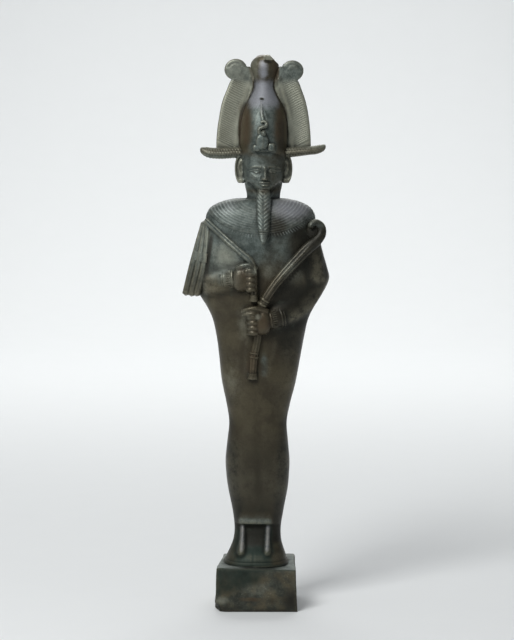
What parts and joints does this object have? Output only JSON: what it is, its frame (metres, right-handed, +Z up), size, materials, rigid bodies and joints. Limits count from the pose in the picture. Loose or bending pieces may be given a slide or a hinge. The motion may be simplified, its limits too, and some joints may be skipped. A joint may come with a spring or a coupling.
{
  "type": "osiris figure",
  "caption": "Standing bronze figure of the mummiform god Osiris with plumed crown, crook and flail on a block plinth.",
  "frame": {"origin": "middle of the plinth's underside", "axes": "+Z up along the standing figure, +X towards the figure's left, and the figure faces -Y"},
  "size_m": [0.0797, 0.0454, 0.3],
  "materials": {
    "patinated_bronze": "old cast bronze with a dark olive-brown and grey-green patina, worn smooth on the raised parts"
  },
  "bodies": {
    "root": {"osiris_figure": "patinated_bronze"}
  },
  "joints": []
}
